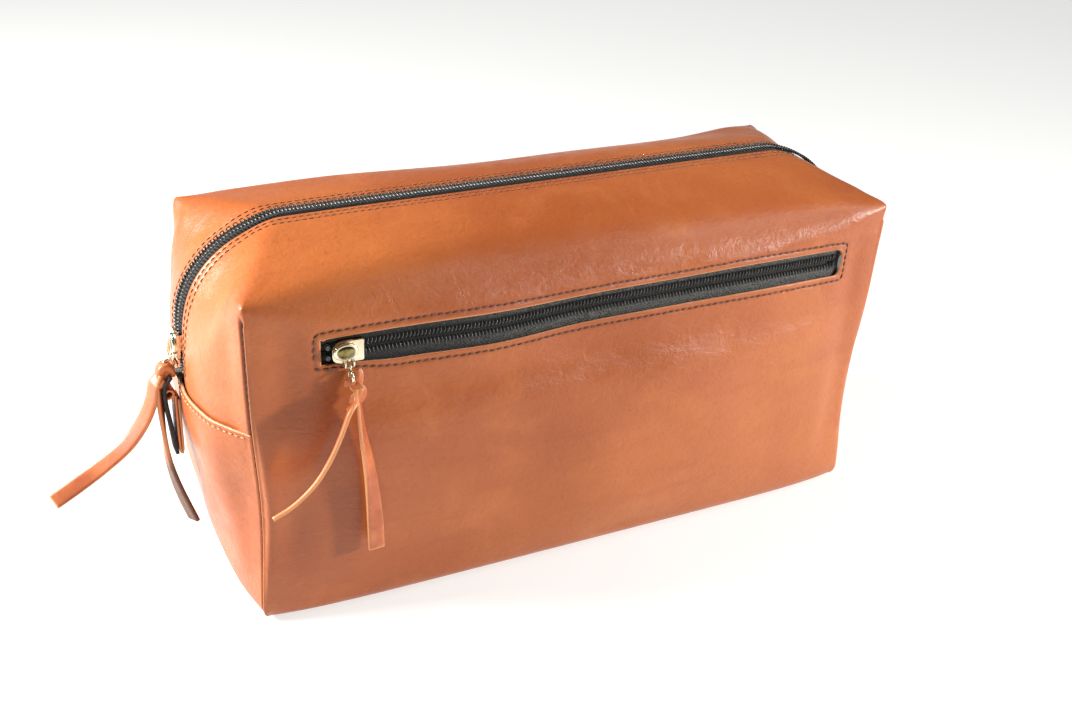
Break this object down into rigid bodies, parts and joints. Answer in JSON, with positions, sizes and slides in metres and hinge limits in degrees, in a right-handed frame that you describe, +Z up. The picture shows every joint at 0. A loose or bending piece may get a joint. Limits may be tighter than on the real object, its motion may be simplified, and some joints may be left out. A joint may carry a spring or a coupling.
{
  "type": "leather wash bag",
  "caption": "Soft box-shaped leather wash bag with a zip over its top and down both ends, a front zip pocket, lace pulls, end tabs and a cloth lining.",
  "frame": {"origin": "centre of the flat base, on the surface that the bag stands on", "axes": "+X along the bag towards the end without the slider, +Y from the pocket side to the plain side, +Z up"},
  "size_m": [0.3683, 0.1345, 0.1528],
  "materials": {
    "leather": "glossy waxed full-grain leather, tan to cognac",
    "lining": "plain woven cotton, dark brown",
    "tape": "black woven zip tape",
    "coil": "black nylon coil",
    "metal": "pale gold plating, polished",
    "lace": "cut leather lace with lighter edges",
    "thread": "dark brown waxed thread"
  },
  "bodies": {
    "bag": {"front_panel": "leather", "back_panel": "leather", "base_panel": "leather", "end_tab_left": "leather", "base_lining": "lining", "front_lining": "lining", "back_lining": "lining", "pocket_lining_front": "lining", "pocket_lining_back": "lining", "main_zip_tape_front": "tape", "main_zip_tape_back": "tape", "pocket_zip_tape_lower": "tape", "pocket_zip_tape_upper": "tape", "zip_tail_left": "tape", "zip_tail_right": "tape", "end_tab_tape_left": "tape", "main_zip_coil_front": "coil", "main_zip_coil_back": "coil", "pocket_zip_coil_lower": "coil", "pocket_zip_coil_upper": "coil", "pocket_zip_top_stop_lower": "coil", "pocket_zip_top_stop_upper": "coil", "pocket_zip_bottom_stop": "coil", "main_zip_top_stop_front": "metal", "main_zip_top_stop_back": "metal", "main_zip_bottom_stop": "metal", "main_zip_thread_front_inner": "thread", "main_zip_thread_front_outer": "thread", "main_zip_thread_back_inner": "thread", "main_zip_thread_back_outer": "thread", "corner_seam_thread_front_left": "thread", "corner_seam_thread_front_right": "thread", "corner_seam_thread_back_left": "thread", "corner_seam_thread_back_right": "thread", "flap_thread_left": "thread", "flap_thread_right": "thread", "pocket_zip_thread": "thread"},
    "main_slider": {"main_slider_body": "metal", "main_slider_crown": "metal"},
    "main_ring": {"main_pull_ring": "metal"},
    "main_lace": {"main_lace_knot": "lace", "main_lace_tail_long": "lace", "main_lace_tail_short": "lace"},
    "pocket_slider": {"pocket_slider_body": "metal", "pocket_slider_crown": "metal"},
    "pocket_ring": {"pocket_pull_ring": "metal"},
    "pocket_lace": {"pocket_lace_knot": "lace", "pocket_lace_tail_left": "lace", "pocket_lace_tail_right": "lace"},
    "right_tab": {"end_tab_right": "leather", "end_tab_tape_right": "tape"}
  },
  "joints": [
    {"name": "main_slider_slide", "type": "slide", "parent": "bag", "child": "main_slider", "axis": [0, 0, 1], "range_m": [0, 0.0065]},
    {"name": "main_ring_hinge", "type": "hinge", "parent": "main_slider", "child": "main_ring", "pos_m": [-0.1561, 0, 0.0965], "axis": [0, 1, 0], "range_deg": [0, 60]},
    {"name": "main_lace_hinge", "type": "hinge", "parent": "main_ring", "child": "main_lace", "pos_m": [-0.1579, 0, 0.09106], "axis": [1, 0, 0], "range_deg": [-20, 20]},
    {"name": "pocket_slider_slide", "type": "slide", "parent": "bag", "child": "pocket_slider", "axis": [1, 0, 0], "range_m": [0, 0.208]},
    {"name": "pocket_ring_hinge", "type": "hinge", "parent": "pocket_slider", "child": "pocket_ring", "pos_m": [-0.1034, -0.05906, 0.1132], "axis": [-1, 0, 0], "range_deg": [0, 60]},
    {"name": "pocket_lace_hinge", "type": "hinge", "parent": "pocket_ring", "child": "pocket_lace", "pos_m": [-0.1034, -0.06041, 0.10754], "axis": [0, 1, 0], "range_deg": [-25, 25]},
    {"name": "right_tab_hinge", "type": "hinge", "parent": "bag", "child": "right_tab", "pos_m": [0.1553, 0, 0.0887], "axis": [0, -1, 0], "range_deg": [0, 70]}
  ]
}
